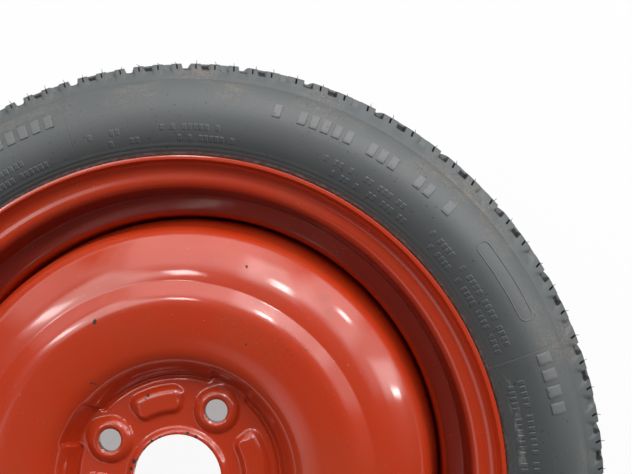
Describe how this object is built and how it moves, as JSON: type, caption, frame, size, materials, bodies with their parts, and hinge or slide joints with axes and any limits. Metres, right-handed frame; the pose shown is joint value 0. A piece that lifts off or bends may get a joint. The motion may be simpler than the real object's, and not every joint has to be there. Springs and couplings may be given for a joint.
{
  "type": "space-saver spare wheel",
  "caption": "Narrow temporary spare wheel: pressed steel disc welded into a steel rim, slim tyre and snap-in valve. Bolts to a car's hub.",
  "frame": {"origin": "middle of the hub face, the flat underside of the disc that bolts against the hub", "axes": "+Z along the wheel's axis to the street side, +X to the picture's right, +Y to the picture's top"},
  "size_m": [0.557, 0.557, 0.1351],
  "materials": {
    "tyre": "matt, dusty",
    "wheel_paint": "gloss, chipped",
    "valve_rubber": "matt",
    "brass": "turned",
    "seal_rubber": "matt",
    "spring_steel": "drawn wire",
    "cap_plastic": "moulded"
  },
  "bodies": {
    "wheel": {"tyre": "tyre", "rim": "wheel_paint", "wheel_disc": "wheel_paint", "weld_beads": "wheel_paint", "valve_body": "valve_rubber", "valve_stem": "brass", "core_barrel": "brass", "core_gasket": "seal_rubber", "core_spring": "spring_steel"},
    "pin": {"core_pin": "brass"},
    "cap": {"valve_cap": "cap_plastic", "cap_seal": "seal_rubber"}
  },
  "joints": [
    {"name": "cap_off", "type": "slide", "parent": "wheel", "child": "cap", "axis": [0, 0.4666, 0.8845], "range_m": [0, 0.012]},
    {"name": "pin_press", "type": "slide", "parent": "wheel", "child": "pin", "axis": [0, -0.4666, -0.8845], "range_m": [0, 0.0012], "stiffness_N_per_m": 1200, "springref_m": -0.003, "deforming": ["core_spring"]}
  ]
}
